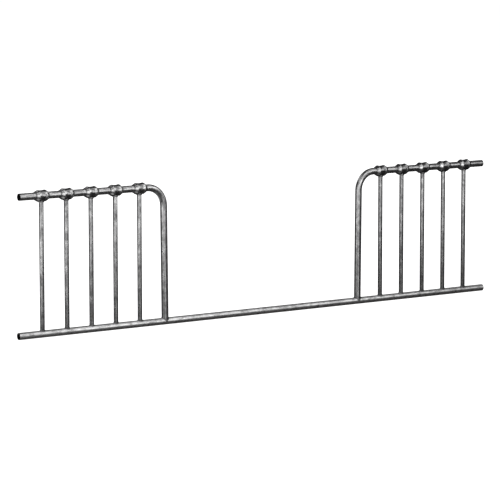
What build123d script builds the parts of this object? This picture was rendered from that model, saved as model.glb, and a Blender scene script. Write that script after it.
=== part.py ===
from build123d import *
import math
import os

# Crowd control barrier: one flat panel of round steel tube. A straight lower rail runs the whole
# length. Over each end of it a bent tube makes a top rail and a post, and leaves the middle of
# the panel low and open. Five bars on each side stand on the lower rail and end in cast
# knuckles that are threaded on the top rail.
#
# Millimetres and degrees. X runs along the panel, Y runs through it with the front at -Y, and
# Z is up. The origin is under the middle of the panel, level with the lower rail's underside.
# "left" is the -X side and "right" the +X side. Bars and knuckles count outwards from the post.

# Overall sizes
panel_length = 3956.0        # lower rail, end to end
rail_spacing = 923.0         # lower rail's axis to top rail's axis
post_spacing = 1646.0        # post to post, on the lower rail's axis
end_setback = 13.0           # each top rail stops this far inside the lower rail's end
end_margin = 183.0           # outermost bar's axis to the lower rail's end
bars_per_side = 5

# Tubes
rail_od = 48.3               # lower rail and both bent tubes
rail_wall = 3.2
bar_od = 31.8
bar_wall = 2.6
bend_radius = 130.0          # on the tube's centre line
post_lean = 0.55             # the posts lean outwards by this many degrees
cope_trim = 6.0              # the thin tips of the post's cope end this far above the rail's axis
bend_gap = 15.4              # straight tube between the bend and the innermost knuckle

# Knuckles: a casting with two beads and a hollow waist, and a boss for the bar underneath
knuckle_length = 102.0
bead_offset = 27.0           # each bead's crest, from the middle of the knuckle
bead_height = 15.35          # crest above the rail's surface
bead_round = 8.0             # radius over the crest
waist_height = 12.15         # waist above the rail's surface
lip_height = 3.0             # edge of the casting above the rail's surface
bore_clearance = 0.35        # around the rail, on the radius
socket_clearance = 0.3       # around the bar, on the radius
core_wall = 5.5              # metal left over the cored pocket at the waist
land_length = 13.0           # ring at each end of the bore that bears on the rail
boss_wall = 5.0              # metal around the bar's socket
boss_drop = 4.0              # the boss ends this far below the beads' crests
boss_round = 3.0             # rounded rim of the boss
bar_top_gap = 1.5            # between the bar's upper end and the rail

# Grub screws, one in the back of each knuckle
screw_radius = 5.0
screw_clearance = 0.1        # around the screw, on the radius
screw_sink = 0.6             # the screw's end lies this far under the waist's surface
key_across_flats = 5.0
key_depth = 5.0

# Welds and the vents under the uprights
weld_leg = 4.0
bar_vent_radius = 6.0
post_vent_radius = 8.0

# Worked out from the sizes above
rail_radius = rail_od / 2
bar_radius = bar_od / 2
half_length = panel_length / 2
low_z = rail_radius
top_z = low_z + rail_spacing
foot_x = post_spacing / 2
corner_x = foot_x + rail_spacing * math.tan(math.radians(post_lean))
bend_tangent = bend_radius * math.tan(math.radians(90 - post_lean) / 2)
first_bar_x = corner_x + bend_tangent + bend_gap + knuckle_length / 2
last_bar_x = half_length - end_margin
bar_pitch = (last_bar_x - first_bar_x) / (bars_per_side - 1)
crest_radius = rail_radius + bead_height
waist_radius = rail_radius + waist_height
bore_radius = rail_radius + bore_clearance
boss_radius = bar_radius + boss_wall
boss_depth = crest_radius + boss_drop
bar_top_z = top_z - rail_radius - bar_top_gap

SIDES = {"left": -1, "right": 1}
ON_END = (Align.CENTER, Align.CENTER, Align.MIN)


def bar_places(sign):
    """X of each bar on one side, from the post outwards."""
    return [sign * (first_bar_x + bar_pitch * number) for number in range(bars_per_side)]


def rod_along_x(radius, length, z):
    """A solid round bar along X, centred on X = 0."""
    return Pos(0, 0, z) * Rot(0, 90, 0) * Cylinder(radius, length)


def lower_rail_body():
    """The lower rail's outside, filled: everything that stands on it is coped to this."""
    return rod_along_x(rail_radius, panel_length, low_z)


def upright_axis(x, lean):
    """The place and tilt of an upright's foot on the lower rail's axis."""
    return Pos(x, 0, low_z) * Rot(0, lean, 0)


def lower_rail():
    """Straight tube, open at both ends, with a vent into the foot of each upright."""
    rail = lower_rail_body() - rod_along_x(rail_radius - rail_wall, panel_length + 2, low_z)
    for sign in SIDES.values():
        vent = Cylinder(post_vent_radius, rail_od, align=ON_END)
        rail -= upright_axis(sign * foot_x, sign * post_lean) * vent
        for x in bar_places(sign):
            rail -= upright_axis(x, 0) * Cylinder(bar_vent_radius, rail_od, align=ON_END)
    return rail


def top_rail(sign):
    """One bent tube: top rail, bend and post. Its foot is coped to the lower rail."""
    foot_rise = cope_trim
    foot = (sign * (foot_x + foot_rise * math.tan(math.radians(post_lean))), low_z + foot_rise)
    corner = (sign * corner_x, top_z)
    end = (sign * (half_length - end_setback), top_z)
    route = Plane.XZ * FilletPolyline(end, corner, foot, radius=bend_radius)
    ring = Circle(rail_radius) - Circle(rail_radius - rail_wall)
    section = Plane(origin=route @ 0, z_dir=route % 0) * ring
    return sweep(section, path=route) - lower_rail_body()


def bar(x):
    """Upright tube, coped to the lower rail, whose top stands in a knuckle's socket."""
    height = bar_top_z - low_z
    tube = Cylinder(bar_radius, height, align=ON_END)
    tube -= Cylinder(bar_radius - bar_wall, height, align=ON_END)
    return upright_axis(x, 0) * tube - lower_rail_body()


def knuckle_section():
    """Half section of the solid casting: X along the rail, Y the distance from its axis."""
    half = knuckle_length / 2
    lip = Vector(half, rail_radius + lip_height)
    bead = Vector(bead_offset, crest_radius - bead_round)
    crest = Vector(bead_offset, crest_radius)
    # The waist is an arc that runs into both beads: its radius follows from their places.
    dip = crest_radius - waist_radius
    hollow = (bead_offset**2 + (bead_round - dip)**2 - bead_round**2) / (2 * dip)
    to_hollow = (Vector(0, waist_radius + hollow) - bead).normalized()
    inner_end = bead + to_hollow * bead_round
    # The shoulder is a straight line from the lip that runs into the bead.
    to_bead = bead - lip
    slope = math.atan2(to_bead.Y, to_bead.X) - math.asin(bead_round / to_bead.length)
    reach = math.sqrt(to_bead.length**2 - bead_round**2)
    outer_end = lip + Vector(math.cos(slope), math.sin(slope)) * reach

    def other_end(point):
        return Vector(-point.X, point.Y)

    outline = [
        Line((half, 0), lip),
        Line(lip, outer_end),
        ThreePointArc(outer_end, crest, inner_end),
        ThreePointArc(inner_end, (0, waist_radius), other_end(inner_end)),
        ThreePointArc(other_end(inner_end), other_end(crest), other_end(outer_end)),
        Line(other_end(outer_end), other_end(lip)),
        Line(other_end(lip), (-half, 0)),
        Line((-half, 0), (half, 0)),
    ]
    return make_face(outline)


def knuckle(x):
    """Casting threaded on the top rail, bored for the rail and cored between its two lands."""
    body = revolve(knuckle_section(), axis=Axis.X)
    boss = Cylinder(boss_radius, boss_depth, align=ON_END)
    boss = fillet(boss.edges().sort_by(Axis.Z)[0], boss_round)
    body += Pos(0, 0, -boss_depth) * boss
    body -= rod_along_x(bore_radius, knuckle_length + 2, 0)
    body -= rod_along_x(waist_radius - core_wall, knuckle_length - 2 * land_length, 0)
    socket = Cylinder(bar_radius + socket_clearance, boss_depth, align=ON_END)
    body -= Pos(0, 0, -boss_depth) * socket
    screw_hole = Cylinder(screw_radius + screw_clearance, crest_radius, align=ON_END)
    body -= Rot(-90, 0, 0) * screw_hole
    return Pos(x, 0, top_z) * body


def grub_screw(x):
    """Set screw from the back of a knuckle to the rail, with a hexagon socket."""
    length = waist_height - screw_sink
    key = RegularPolygon(key_across_flats / 2, 6, major_radius=False)
    screw = Cylinder(screw_radius, length, align=ON_END)
    screw -= Pos(0, 0, length - key_depth) * extrude(key, amount=key_depth)
    return Pos(x, rail_radius, top_z) * Rot(-90, 0, 0) * screw


def weld(x, lean, radius):
    """Bead around the foot of an upright, from the upright's wall to the lower rail's."""
    reach = rail_radius + weld_leg
    around = Cylinder(radius + weld_leg, reach, align=ON_END) - Cylinder(radius, reach, align=ON_END)
    bead = upright_axis(x, lean) * around
    bead &= rod_along_x(reach, panel_length, low_z)
    return bead - lower_rail_body()


def save(name, solids):
    """Write one sub-part, which is one solid or a group of separate solids."""
    shape = solids[0] if len(solids) == 1 else Compound(children=solids)
    shape.label = name
    export_step(shape, f"parts/{name}.step")


os.makedirs("parts", exist_ok=True)
save("lower_rail", [lower_rail()])
for side, sign in SIDES.items():
    places = bar_places(sign)
    save(f"{side}_top_rail", [top_rail(sign)])
    save(f"{side}_bar_welds", [weld(x, 0, bar_radius) for x in places])
    save(f"{side}_post_weld", [weld(sign * foot_x, sign * post_lean, rail_radius)])
    save(f"{side}_grub_screws", [grub_screw(x) for x in places])
    for number, x in enumerate(places, start=1):
        save(f"{side}_bar_{number}", [bar(x)])
        save(f"{side}_knuckle_{number}", [knuckle(x)])
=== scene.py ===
import math

import bpy
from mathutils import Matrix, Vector


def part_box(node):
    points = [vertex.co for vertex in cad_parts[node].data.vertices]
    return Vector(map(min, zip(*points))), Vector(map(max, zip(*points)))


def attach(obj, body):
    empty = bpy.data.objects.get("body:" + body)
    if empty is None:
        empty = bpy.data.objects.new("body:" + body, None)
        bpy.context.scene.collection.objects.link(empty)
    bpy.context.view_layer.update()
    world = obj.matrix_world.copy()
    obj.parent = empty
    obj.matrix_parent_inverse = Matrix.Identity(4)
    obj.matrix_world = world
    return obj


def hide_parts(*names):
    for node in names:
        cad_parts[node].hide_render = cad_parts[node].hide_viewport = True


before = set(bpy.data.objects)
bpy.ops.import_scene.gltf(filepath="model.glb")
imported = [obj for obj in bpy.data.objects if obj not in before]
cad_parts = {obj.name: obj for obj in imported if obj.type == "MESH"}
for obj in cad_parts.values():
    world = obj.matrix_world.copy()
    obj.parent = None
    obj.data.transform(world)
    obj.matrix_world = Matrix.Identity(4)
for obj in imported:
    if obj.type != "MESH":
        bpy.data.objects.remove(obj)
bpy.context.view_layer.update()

# ---------------------------------------------------------------------------------------------
# Lower rail. One straight length of galvanised steel pipe, 48.3 mm across with a 3.2 mm wall,
# sawn square and deburred at both ends. It carries the posts and bars, which are welded on top.

rail_low, rail_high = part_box("lower_rail")
rail_length = rail_high.x - rail_low.x
rail_radius = (rail_high.z - rail_low.z) / 2
rail_z = (rail_high.z + rail_low.z) / 2
rail_wall = 0.0032
rail_bore = rail_radius - rail_wall
tube_sides = 96
rim_round = 0.0006           # radius filed on the edges of an open tube end
bore_edge = 0.0002           # how far the bore's painted shade reaches into its rounded edge
along_x = (0, math.pi / 2, 0)


def deselect():
    if bpy.context.object and bpy.context.object.mode != "OBJECT":
        bpy.ops.object.mode_set(mode="OBJECT")
    bpy.ops.object.select_all(action="DESELECT")


def activate(piece):
    deselect()
    piece.select_set(True)
    bpy.context.view_layer.objects.active = piece


def apply_modifier(piece, kind, **settings):
    """Adds one modifier, sets it up and applies it."""
    activate(piece)
    modifier = piece.modifiers.new(kind.lower(), kind)
    for setting, value in settings.items():
        setattr(modifier, setting, value)
    bpy.ops.object.modifier_apply(modifier=modifier.name)


def settle(piece):
    """Moves a piece's place and turn into its mesh."""
    activate(piece)
    bpy.ops.object.transform_apply(location=True, rotation=True, scale=True)


def give_wall(piece, wall):
    """Makes a thin-skinned tube as thick as its wall, inwards from the outside."""
    apply_modifier(piece, "SOLIDIFY", thickness=wall, offset=-1.0, use_even_offset=True)


def round_rims(piece, width=rim_round):
    """Rounds every edge that is close to square."""
    apply_modifier(piece, "BEVEL", width=width, segments=3, limit_method="ANGLE",
                   angle_limit=math.radians(60))


def smooth(piece, degrees=35):
    activate(piece)
    bpy.ops.object.shade_smooth_by_angle(angle=math.radians(degrees))


def finish_piece(piece, nodes, material):
    """Gives a finished piece its material and its place in the assembly."""
    piece.data.materials.clear()
    piece.data.materials.append(material)
    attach(piece, "root")
    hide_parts(*nodes)


def weathered_zinc(name, place_name, along, grey, dullness, wear_and_light_name=None):
    """Old galvanised steel: grey is its mean colour, dullness its roughness, and along is the way
    that its streaks run, as a 1 for that axis.

    place_name names an attribute of the mesh that says where a point lies on the straight tube.
    The last argument names one that says how light each point is painted, from 0 in the corners
    and underneath to 1 on what stands proud: partly rubbing, partly painted highlight on the
    beads and painted shade under the casting and where it meets the rail.
    """
    material = bpy.data.materials.new(name)
    material.use_nodes = True
    tree = material.node_tree
    node = tree.nodes.new
    link = tree.links.new
    shader = tree.nodes["Principled BSDF"]
    shader.inputs["Metallic"].default_value = 1.0
    shader.inputs["Specular Tint"].default_value = (0.3, 0.3, 0.3, 1.0)

    if place_name:
        place = node("ShaderNodeAttribute")
        place.attribute_name = place_name
        position = place.outputs["Vector"]
    else:
        position = node("ShaderNodeTexCoord").outputs["Object"]

    def stretched(amount):
        """The position, with the pattern drawn out along the tube."""
        mapping = node("ShaderNodeMapping")
        mapping.inputs["Scale"].default_value = [amount if a else 1.0 for a in along]
        link(position, mapping.inputs["Vector"])
        return mapping.outputs["Vector"]

    def spread(value, low, high, to_low, to_high):
        reach = node("ShaderNodeMapRange")
        reach.inputs["From Min"].default_value = low
        reach.inputs["From Max"].default_value = high
        reach.inputs["To Min"].default_value = to_low
        reach.inputs["To Max"].default_value = to_high
        link(value, reach.inputs["Value"])
        return reach.outputs["Result"]

    def noise(vector, scale, detail):
        """Soft spots from 0 to 1. scale is how many there are in a metre."""
        texture = node("ShaderNodeTexNoise")
        texture.inputs["Scale"].default_value = scale
        texture.inputs["Detail"].default_value = detail
        texture.inputs["Roughness"].default_value = 0.6
        link(vector, texture.inputs["Vector"])
        return spread(texture.outputs["Fac"], 0.36, 0.64, 0.0, 1.0)

    def math_of(operation, first, second):
        step = node("ShaderNodeMath")
        step.operation = operation
        for socket, value in zip(step.inputs, (first, second)):
            if isinstance(value, float):
                socket.default_value = value
            else:
                link(value, socket)
        return step.outputs["Value"]

    def sum_of(*shares):
        total = math_of("MULTIPLY", shares[0][0], shares[0][1])
        for value, share in shares[1:]:
            total = math_of("ADD", total, math_of("MULTIPLY", value, share))
        return total

    # Zinc crystals about a centimetre wide, blotches of weathering, the streaks that rain and
    # handling leave along the tube, and a fine grain.
    crystals = node("ShaderNodeTexVoronoi")
    crystals.inputs["Scale"].default_value = 85.0
    link(stretched(0.7), crystals.inputs["Vector"])
    spangle = node("ShaderNodeSeparateColor")
    link(crystals.outputs["Color"], spangle.inputs["Color"])
    blotches = noise(stretched(0.7), 32.0, 4.0)
    streaks = noise(stretched(0.06), 260.0, 3.0)
    grains = noise(position, 480.0, 3.0)
    tone = sum_of((blotches, 0.54), (spangle.outputs["Red"], 0.14), (streaks, 0.26),
                  (grains, 0.06))
    # Lightens what stands proud and darkens the corners and underside: partly wear, partly painted
    # highlight and painted shade.
    if wear_and_light_name:
        wear_and_light = node("ShaderNodeAttribute")
        wear_and_light.attribute_name = wear_and_light_name
        tone = math_of("ADD", math_of("MULTIPLY", tone, 0.5),
                       spread(wear_and_light.outputs["Fac"], 0.0, 1.0, -0.25, 0.62))

    colour = node("ShaderNodeValToRGB")
    ramp = colour.color_ramp.elements
    brightest = min(1.6 * grey, 0.95)
    ramp[0].position = 0.1
    ramp[0].color = (0.45 * grey, 0.45 * grey, 0.455 * grey, 1.0)
    ramp[1].position = 0.9
    ramp[1].color = (brightest, brightest, brightest, 1.0)
    mean = ramp.new(0.5)
    mean.color = (grey, grey, 1.005 * grey, 1.0)
    link(tone, colour.inputs["Fac"])
    link(colour.outputs["Color"], shader.inputs["Base Color"])
    link(spread(blotches, 0.0, 1.0, dullness + 0.06, dullness - 0.02),
         shader.inputs["Roughness"])

    bump = node("ShaderNodeBump")
    bump.inputs["Strength"].default_value = 0.06
    bump.inputs["Distance"].default_value = 0.0003
    link(sum_of((grains, 0.5), (streaks, 0.3), (blotches, 0.6)), bump.inputs["Height"])
    link(bump.outputs["Normal"], shader.inputs["Normal"])
    return material


def paint_bore_shade(piece, from_axis):
    """Paints the inside of a tube near-black: painted shade for the shade inside the bore.
    from_axis says how far off the axis a point is.
    """
    piece.data.materials.append(bore_painted_shade)
    for face in piece.data.polygons:
        if from_axis(face.center) < rail_bore + bore_edge:
            face.material_index = 1


rail_zinc = weathered_zinc("rail_zinc", None, (1, 0, 0), 0.78, 0.36)
bore_painted_shade = weathered_zinc("bore_painted_shade", None, (1, 0, 0), 0.03, 0.5)   # near-black: painted shade for the inside of the tube

deselect()
bpy.ops.mesh.primitive_cylinder_add(
    vertices=tube_sides, radius=rail_radius, depth=rail_length, end_fill_type="NOTHING",
    location=(0, 0, rail_z), rotation=along_x)
lower_rail = bpy.context.object
lower_rail.name = "lower_rail_tube"
settle(lower_rail)
give_wall(lower_rail, rail_wall)
round_rims(lower_rail)
smooth(lower_rail)
finish_piece(lower_rail, ["lower_rail"], rail_zinc)
paint_bore_shade(lower_rail, lambda point: math.hypot(point.y, point.z - rail_z))

# ---------------------------------------------------------------------------------------------
# Bent top rails. Each is one length of the same pipe: it runs in from the open end, bends down
# on a 130 mm radius a little short of square, and becomes the post. The post's foot is cut to
# a saddle that sits on the lower rail.

bend_radius = 0.13
bend_steps = 40
post_lean = math.radians(0.55)
foot_x = 0.823               # post's axis where it meets the lower rail's axis
foot_rise = 0.006            # the tips of the saddle are trimmed this far above the rail's axis
top_low, top_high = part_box("right_top_rail")
top_z = top_high.z - rail_radius
end_x = top_high.x
turn = math.pi / 2 - post_lean
corner_x = foot_x + (top_z - rail_z) * math.tan(post_lean)
bend_x = corner_x + bend_radius * math.tan(turn / 2)
bend_z = top_z - bend_radius
bend_end = Vector((bend_x - bend_radius * math.sin(turn), 0,
                   bend_z + bend_radius * math.cos(turn)))
foot = Vector((foot_x + foot_rise * math.tan(post_lean), 0, rail_z + foot_rise))


def outwards(piece, merge=True):
    """Turns all faces of a closed mesh outwards."""
    activate(piece)
    bpy.ops.object.mode_set(mode="EDIT")
    bpy.ops.mesh.select_all(action="SELECT")
    if merge:
        bpy.ops.mesh.remove_doubles(threshold=1e-6)
    bpy.ops.mesh.normals_make_consistent(inside=False)
    bpy.ops.object.mode_set(mode="OBJECT")


def cut_away(piece, cutter, operation="DIFFERENCE"):
    """Cuts one mesh with another, which is used up."""
    apply_modifier(piece, "BOOLEAN", operation=operation, object=cutter, solver="EXACT")
    bpy.data.objects.remove(cutter)


def rod(radius, length, location, rotation, vertices=tube_sides):
    """A plain round bar, used to cut with or to add to a casting."""
    deselect()
    bpy.ops.mesh.primitive_cylinder_add(vertices=vertices, radius=radius, depth=length,
                                        location=location, rotation=rotation)
    return bpy.context.object


def cut_saddle(piece):
    """Cuts the foot of what stands on the lower rail to the rail's own round."""
    cut_away(piece, rod(rail_radius, rail_length, (0, 0, rail_z), along_x))


def twin_of(piece, name):
    """A copy with its own mesh, in the same place."""
    twin = piece.copy()
    twin.data = piece.data.copy()
    twin.name = name
    bpy.context.collection.objects.link(twin)
    return twin


def mirrored(piece, name):
    """A mirror image on the other side of the panel's middle."""
    twin = twin_of(piece, name)
    twin.scale.x = -1
    settle(twin)
    outwards(twin, merge=False)
    return twin


def straightened(point, side):
    """Where a point of a bent tube would be if the tube were straight and ran along X."""
    x = side * point.x
    z = point.z
    if x >= bend_x:
        return Vector((x, point.y, z - top_z))
    from_centre = Vector((bend_x - x, z - bend_z))
    angle = math.atan2(from_centre.x, from_centre.y)
    if angle < turn:
        return Vector((bend_x - bend_radius * angle, point.y, from_centre.length - bend_radius))
    down = Vector((-math.sin(post_lean), -math.cos(post_lean)))
    across = Vector((-math.cos(post_lean), math.sin(post_lean)))
    from_bend = Vector((x - bend_end.x, z - bend_end.z))
    run = bend_radius * turn + from_bend.dot(down)
    return Vector((bend_x - run, point.y, from_bend.dot(across)))


def keep_straightened(piece, side):
    """Stores each point's place along and around the tube, for the material's pattern."""
    places = piece.data.attributes.new("along_tube", "FLOAT_VECTOR", "POINT")
    for place, vertex in zip(places.data, piece.data.vertices):
        place.vector = straightened(vertex.co, side)


deselect()
bpy.ops.mesh.primitive_circle_add(
    vertices=tube_sides, radius=rail_radius, location=(end_x, 0, top_z), rotation=along_x)
right_rail = bpy.context.object
right_rail.name = "right_top_rail_tube"
settle(right_rail)
activate(right_rail)
bpy.ops.object.mode_set(mode="EDIT")
bpy.ops.mesh.select_all(action="SELECT")
bpy.ops.mesh.extrude_region_move(TRANSFORM_OT_translate={"value": (bend_x - end_x, 0, 0)})
bpy.ops.mesh.spin(steps=bend_steps, angle=turn, center=(bend_x, 0, bend_z), axis=(0, 1, 0))
bpy.ops.mesh.extrude_region_move(TRANSFORM_OT_translate={"value": foot - bend_end})
bpy.ops.object.mode_set(mode="OBJECT")
outwards(right_rail)
give_wall(right_rail, rail_wall)
cut_saddle(right_rail)
round_rims(right_rail)
left_rail = mirrored(right_rail, "left_top_rail_tube")

# The left end of the panel is painted a little lighter than the right end: painted light, for
# the left end standing in more light.
bent_zinc_lit_and_shaded = {1: weathered_zinc("right_rail_shaded_zinc", "along_tube", (1, 0, 0), 0.5, 0.28),
             -1: weathered_zinc("left_rail_lit_zinc", "along_tube", (1, 0, 0), 0.56, 0.29)}
for piece, side, node in ((right_rail, 1, "right_top_rail"), (left_rail, -1, "left_top_rail")):
    keep_straightened(piece, side)
    smooth(piece)
    finish_piece(piece, [node], bent_zinc_lit_and_shaded[side])
    paint_bore_shade(piece, lambda point: straightened(point, side).yz.length)

# ---------------------------------------------------------------------------------------------
# Bars. Ten uprights of 31.8 mm steel tube with a 2.6 mm wall. The foot of each is cut to a
# saddle and welded to the lower rail, and the top stands in the socket of a knuckle.

bar_low, bar_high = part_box("right_bar_1")
bar_radius = (bar_high.x - bar_low.x) / 2
bar_wall = 0.0026
bar_sides = 72
bar_rim_round = 0.0004
sides = ("left", "right")
bars_per_side = 5
# The left bars are painted lighter than the right ones: painted light, for the left end standing in
# more light.
bar_zinc_lit_and_shaded = {"left": weathered_zinc("left_bar_lit_zinc", None, (0, 0, 1), 0.43, 0.27),
            "right": weathered_zinc("right_bar_shaded_zinc", None, (0, 0, 1), 0.33, 0.27)}


def middle(node):
    low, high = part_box(node)
    return (low + high) / 2


def one_at_each_bar(first, first_x, node, name):
    """Copies the piece that is made for the right side's first bar to the nine other bars."""
    row = {("right", 1): first}
    for side in sides:
        for number in range(1, bars_per_side + 1):
            if (side, number) not in row:
                twin = twin_of(first, f"{side}_{name}_{number}")
                twin.location.x += middle(f"{side}_{node}_{number}").x - first_x
                settle(twin)
                row[side, number] = twin
    return row


first_bar_x = middle("right_bar_1").x
deselect()
bpy.ops.mesh.primitive_cylinder_add(
    vertices=bar_sides, radius=bar_radius, depth=bar_high.z - rail_z, end_fill_type="NOTHING",
    location=(first_bar_x, 0, (bar_high.z + rail_z) / 2))
first_bar = bpy.context.object
first_bar.name = "right_bar_tube_1"
settle(first_bar)
give_wall(first_bar, bar_wall)
cut_saddle(first_bar)
round_rims(first_bar, bar_rim_round)
bars = one_at_each_bar(first_bar, first_bar_x, "bar", "bar_tube")
for (side, number), piece in bars.items():
    smooth(piece)
    finish_piece(piece, [f"{side}_bar_{number}"], bar_zinc_lit_and_shaded[side])

# ---------------------------------------------------------------------------------------------
# Foot welds. A hand-laid fillet of weld metal closes the saddle joint round every bar and post,
# with the fine ripples of the puddle. It was galvanised with the rest and stays a little rougher.
# Its dark grey is painted shade, for the shade in the corner at each foot.

bead_radius = 0.0034         # thickness of the weld, as the radius of its round section
bead_stand = 0.0006          # how far its middle stands out of the corner
bead_sides = 12
ripple_length = 0.0028       # along the weld
ripple_depth = 0.09          # share of the bead's radius
steps_per_ripple = 5
line_steps = 96              # steps in which the weld's length is measured
line_nudge = 0.01            # angle either side of a point that gives the weld's direction
side_round = 0.06            # share of the rail's radius that rounds the line at the rail's sides


def weld_line(radius, angle):
    """A point of the corner between an upright of this radius and the lower rail."""
    across = radius * math.sin(angle)
    # The small term keeps the line round where a post as wide as the rail meets its sides.
    height = math.sqrt(max(rail_radius ** 2 - across ** 2, 0.0) + (side_round * rail_radius) ** 2)
    return Vector((radius * math.cos(angle), across, height))


def weld_length(radius):
    corners = [weld_line(radius, math.tau * k / line_steps) for k in range(line_steps + 1)]
    return sum((after - before).length for before, after in zip(corners, corners[1:]))


def weld_bead(name, radius, x, lean):
    """A torus laid along the corner, with ripples."""
    ripples = round(weld_length(radius) / ripple_length)
    deselect()
    bpy.ops.mesh.primitive_torus_add(major_segments=ripples * steps_per_ripple,
                                     minor_segments=bead_sides, major_radius=1.0,
                                     minor_radius=0.25)
    bead = bpy.context.object
    bead.name = name
    slope = math.tan(lean)
    for vertex in bead.data.vertices:
        angle = math.atan2(vertex.co.y, vertex.co.x)
        turn_in = math.atan2(vertex.co.z, math.hypot(vertex.co.x, vertex.co.y) - 1.0)
        here = weld_line(radius, angle)
        ahead = weld_line(radius, angle + line_nudge) - weld_line(radius, angle - line_nudge)
        ahead.normalize()
        from_bar = Vector((math.cos(angle), math.sin(angle), 0))
        from_rail = Vector((0, here.y, here.z)).normalized()
        out = from_bar + from_rail
        out = (out - ahead * out.dot(ahead)).normalized()
        up = ahead.cross(out)
        phase = (angle / math.tau * ripples) % 1.0
        swell = 1.0 - ripple_depth * (1.0 - math.sqrt(abs(math.sin(math.pi * phase))))
        # A hand never moves evenly: the bead swells and thins a few times on its way round.
        swell *= 1.0 + 0.07 * math.sin(3 * angle + 40 * x) + 0.05 * math.sin(7 * angle - 90 * x)
        reach = out * math.cos(turn_in) + up * math.sin(turn_in)
        spot = here + out * bead_stand + reach * bead_radius * swell
        vertex.co = Vector((x + spot.x + slope * spot.z, spot.y, rail_z + spot.z))
    outwards(bead)
    bpy.ops.object.shade_smooth()
    return bead


def joined(pieces, name):
    """One object out of several."""
    deselect()
    for piece in pieces:
        piece.select_set(True)
    bpy.context.view_layer.objects.active = pieces[0]
    bpy.ops.object.join()
    pieces[0].name = name
    return pieces[0]


# Dark grey: painted shade for the corner where each upright meets the rail.
weld_shaded_zinc = weathered_zinc("weld_shaded_zinc", None, (1, 0, 0), 0.22, 0.36)
for side, sign in (("left", -1), ("right", 1)):
    feet = []
    for number in range(1, bars_per_side + 1):
        bar_x = middle(f"{side}_bar_{number}").x
        feet.append(weld_bead(f"{side}_bar_weld_{number}", bar_radius, bar_x, 0.0))
    bar_welds = joined(feet, f"{side}_bar_weld_beads")
    finish_piece(bar_welds, [f"{side}_bar_welds"], weld_shaded_zinc)
    post_weld = weld_bead(f"{side}_post_weld_bead", rail_radius, sign * foot_x, sign * post_lean)
    finish_piece(post_weld, [f"{side}_post_weld"], weld_shaded_zinc)

# ---------------------------------------------------------------------------------------------
# Knuckles. Malleable iron castings, threaded on the top rail before the panel was welded. Each
# has two beads with a hollow waist between them, and a boss underneath that takes a bar's top.

knuckle_low, knuckle_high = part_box("right_knuckle_1")
knuckle_x = (knuckle_low.x + knuckle_high.x) / 2
half_knuckle = (knuckle_high.x - knuckle_low.x) / 2
crest = knuckle_high.z - top_z
crest_offset = 0.027         # crest of each bead, from the middle
crest_round = 0.008          # radius over the crest
crest_steps = 10
waist = rail_radius + 0.01215
waist_steps = 8
lip = rail_radius + 0.003    # outside of the thin edge that lies round the rail
bore = rail_radius + 0.00035
boss_radius = bar_radius + 0.005
boss_depth = top_z - knuckle_low.z
boss_round = 0.003
socket_radius = bar_radius + 0.0003
screw_hole = 0.0051          # radius, just over that of the screw
screw_hole_sides = 48
cast_grain = 0.001           # size of the faces that the casting is made of
clear = 0.1                  # length of a cutter, well past the casting
along_y = (math.pi / 2, 0, 0)
along_z = (0, 0, 0)


def bead_outline():
    """Half of the outline, from the middle to one end: place along the rail, and radius."""
    dip = crest - waist
    # The hollow is an arc that starts level at the waist and runs smoothly into the crest's arc.
    hollow = (crest_offset ** 2 + (crest_round - dip) ** 2 - crest_round ** 2) / (2 * dip)
    centre = Vector((crest_offset, crest - crest_round))
    to_hollow = (Vector((0, waist + hollow)) - centre).normalized()
    inner = math.atan2(to_hollow.y, to_hollow.x)
    to_bead = centre - Vector((half_knuckle, lip))
    slope = math.atan2(to_bead.y, to_bead.x) - math.asin(crest_round / to_bead.length)
    outer = slope - math.pi / 2
    sweep = inner - math.pi / 2
    points = []
    for k in range(waist_steps):
        angle = sweep * k / waist_steps
        points.append((hollow * math.sin(angle), waist + hollow * (1 - math.cos(angle))))
    for k in range(crest_steps + 1):
        angle = inner + (outer - inner) * k / crest_steps
        points.append((centre.x + crest_round * math.cos(angle),
                       centre.y + crest_round * math.sin(angle)))
    points.append((half_knuckle, lip))
    return points


def turned_casting():
    """The outline drawn out ring by ring round the rail's axis, and closed at both ends."""
    half = bead_outline()
    stations = [(-along, radius) for along, radius in reversed(half[1:])] + half
    deselect()
    bpy.ops.mesh.primitive_circle_add(
        vertices=tube_sides, radius=stations[0][1], rotation=along_x,
        location=(knuckle_x + stations[0][0], 0, top_z), fill_type="NGON")
    body = bpy.context.object
    settle(body)
    activate(body)
    bpy.ops.object.mode_set(mode="EDIT")
    bpy.ops.mesh.select_all(action="SELECT")
    for before, after in zip(stations, stations[1:]):
        bpy.ops.mesh.extrude_region_move(
            TRANSFORM_OT_translate={"value": (after[0] - before[0], 0, 0)})
        grow = after[1] / before[1]
        bpy.ops.transform.resize(value=(1, grow, grow),
                                 center_override=(knuckle_x + after[0], 0, top_z))
    bpy.ops.object.mode_set(mode="OBJECT")
    outwards(body)
    return body


def eased(value, low, high):
    """0 below low, 1 above high, and smooth between."""
    share = min(max((value - low) / (high - low), 0.0), 1.0)
    return share * share * (3 - 2 * share)


def keep_wear_and_light(piece):
    """Notes for the material how light each point is painted: the beads lighter, partly for rubbing
    and partly as painted highlight, and the ends by the rail and the underside darker, as painted
    shade.
    """
    wear_and_light = piece.data.attributes.new("wear_and_light", "FLOAT", "POINT")
    for vertex, value in zip(piece.data.vertices, wear_and_light.data):
        along = abs(vertex.co.x - knuckle_x)
        height = vertex.co.z - top_z
        # bead: partly rubbing, partly painted highlight; end and under: painted shade by the rail
        # and beneath the casting.
        bead = eased(along, 0.008, 0.022)
        end = eased(along, 0.04, 0.049)
        under = eased(-height, 0.02, 0.038)
        value.value = (0.3 + 0.7 * bead) * (1 - 0.8 * end) * (1 - 0.7 * under)


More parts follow.
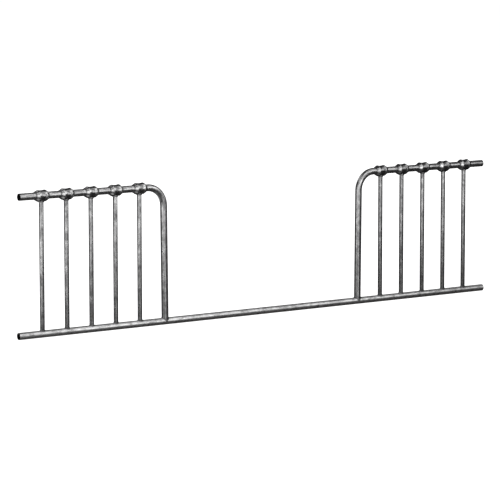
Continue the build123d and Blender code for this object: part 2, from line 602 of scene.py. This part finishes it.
first_knuckle = turned_casting()
first_knuckle.name = "right_knuckle_casting_1"
boss = rod(boss_radius, boss_depth, (knuckle_x, 0, top_z - boss_depth / 2), along_z)
round_rims(boss, boss_round)
cut_away(first_knuckle, boss, "UNION")
apply_modifier(first_knuckle, "REMESH", mode="VOXEL", voxel_size=cast_grain, use_smooth_shade=True)
apply_modifier(first_knuckle, "SMOOTH", factor=0.5, iterations=8)
cut_away(first_knuckle, rod(bore, 2 * clear, (knuckle_x, 0, top_z), along_x))
cut_away(first_knuckle, rod(socket_radius, clear, (knuckle_x, 0, top_z - clear / 2), along_z))
cut_away(first_knuckle, rod(screw_hole, clear, (knuckle_x, clear / 2, top_z), along_y,
                            screw_hole_sides))
keep_wear_and_light(first_knuckle)

knuckle_zinc = weathered_zinc("knuckle_zinc", None, (0, 0, 0), 0.5, 0.24, "wear_and_light")
wear_and_light_share = {"left": 1.0, "right": 0.72}      # the right end's knuckles get less painted highlight: painted light, as that end stands in less light
knuckles = one_at_each_bar(first_knuckle, knuckle_x, "knuckle", "knuckle_casting")
for (side, number), piece in knuckles.items():
    for value in piece.data.attributes["wear_and_light"].data:
        value.value *= wear_and_light_share[side]
    smooth(piece, 40)
    finish_piece(piece, [f"{side}_knuckle_{number}"], knuckle_zinc)

# ---------------------------------------------------------------------------------------------
# Grub screws. A steel set screw with a hexagon socket is threaded into the back of each knuckle
# and grips the rail. It is darker than the castings, because nothing rubs it.

screw_zinc = weathered_zinc("screw_zinc", None, (0, 0, 0), 0.18, 0.3)
for side in sides:
    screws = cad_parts[f"{side}_grub_screws"]
    screws.data.materials.clear()
    screws.data.materials.append(screw_zinc)

# ---------------------------------------------------------------------------------------------
# Studio. A wide white floor in a dim room, with big soft light panels a long way off on all
# sides of the barrier. One smaller panel stands close at the right of the front, so that the
# bars of the left end catch it and those of the right end don't.

deselect()
bpy.ops.mesh.primitive_plane_add(size=600.0, location=(0, 0, 0))
floor = bpy.context.object
floor.name = "floor"
floor_paint = bpy.data.materials.new("floor_paint")
floor_paint.use_nodes = True
floor_shader = floor_paint.node_tree.nodes["Principled BSDF"]
floor_shader.inputs["Base Color"].default_value = (0.9, 0.9, 0.9, 1)
floor_shader.inputs["Roughness"].default_value = 1.0
floor_shader.inputs["Specular IOR Level"].default_value = 0.0
floor_shader.inputs["Emission Color"].default_value = (1, 1, 1, 1)
floor_shader.inputs["Emission Strength"].default_value = 1.0
floor.data.materials.append(floor_paint)
# The floor is as bright as the backdrop and throws nothing back at the steel.
floor.visible_glossy = False
floor.visible_diffuse = False
floor.visible_shadow = False

lit_height = 0.5             # the panels face the middle of the barrier, this far up
panels = (
    # name, azimuth, elevation, distance, width, height, brightness
    ("left", 185, 0, 16.0, 9.0, 9.0, 1.6),
    ("left_high", 205, 45, 16.0, 8.0, 8.0, 0.9),
    ("left_front", 218, 5, 16.0, 8.0, 8.0, 1.15),
    ("camera_side", 244, 12, 16.0, 8.0, 10.0, 1.15),
    ("front_low", 255, -14, 16.0, 10.0, 6.0, 0.6),
    ("front_high", 270, 50, 16.0, 10.0, 9.0, 1.1),
    ("front_right", 279, 15, 5.0, 2.5, 2.9, 1.6),
    ("right_front", 317, 25, 16.0, 8.0, 10.5, 1.35),
    ("right_high", 335, 62, 16.0, 8.0, 7.0, 0.8),
    ("behind_right", 45, 8, 16.0, 12.0, 9.0, 1.2),
    ("behind", 90, 15, 16.0, 9.0, 9.0, 1.3),
    ("behind_high", 130, 50, 16.0, 8.0, 8.0, 0.8),
    ("behind_low", 115, -40, 16.0, 12.0, 8.0, 0.6),
    ("under", 200, -62, 16.0, 10.0, 10.0, 0.35))


def light_panel(name, azimuth, elevation, distance, width, height, brightness):
    """A soft area light. Seen from above, azimuth runs from the right, by way of the back."""
    data = bpy.data.lights.new(name, "AREA")
    data.shape = "RECTANGLE"
    data.size = width
    data.size_y = height
    data.energy = brightness * math.pi * width * height
    light = bpy.data.objects.new(name, data)
    bpy.context.collection.objects.link(light)
    round_by = math.radians(azimuth)
    up_by = math.radians(elevation)
    towards = Vector((math.cos(up_by) * math.cos(round_by), math.cos(up_by) * math.sin(round_by),
                      math.sin(up_by)))
    light.location = Vector((0, 0, lit_height)) + towards * distance
    light.rotation_euler = towards.to_track_quat("Z", "Y").to_euler()
    light.visible_camera = False


for panel in panels:
    light_panel(*panel)

# The camera sees a white backdrop, and the steel sees a dim room.
world = bpy.data.worlds.new("studio")
world.use_nodes = True
world_nodes = world.node_tree.nodes
world_link = world.node_tree.links.new
backdrop = world_nodes["Background"]
backdrop.inputs["Color"].default_value = (1, 1, 1, 1)
backdrop.inputs["Strength"].default_value = 1.0
room = world_nodes.new("ShaderNodeBackground")
room.inputs["Color"].default_value = (1, 1, 1, 1)
room.inputs["Strength"].default_value = 0.035
ray = world_nodes.new("ShaderNodeLightPath")
seen = world_nodes.new("ShaderNodeMixShader")
world_link(ray.outputs["Is Camera Ray"], seen.inputs["Fac"])
world_link(room.outputs["Background"], seen.inputs[1])
world_link(backdrop.outputs["Background"], seen.inputs[2])
world_link(seen.outputs["Shader"], world_nodes["World Output"].inputs["Surface"])
bpy.context.scene.world = world
bpy.context.scene.view_settings.view_transform = "Standard"

# The camera stands well back to the left of the front, a little above the panel.
camera_down = 0.129          # how far it looks down, in radians
camera_turn = 0.61113        # how far it looks to the right of straight back
camera_tilt = 0.00105        # how far it stands off level
camera_data = bpy.data.cameras.new("camera")
camera_data.lens = 201.27
camera_data.sensor_width = 36.0
camera_data.clip_end = 900.0
camera = bpy.data.objects.new("camera", camera_data)
bpy.context.collection.objects.link(camera)
camera.location = (-11.175, -15.787, 2.96)
camera.rotation_euler = (math.pi / 2 - camera_down, 0, -camera_turn)
camera.rotation_euler.rotate_axis("Z", -camera_tilt)
bpy.context.scene.camera = camera
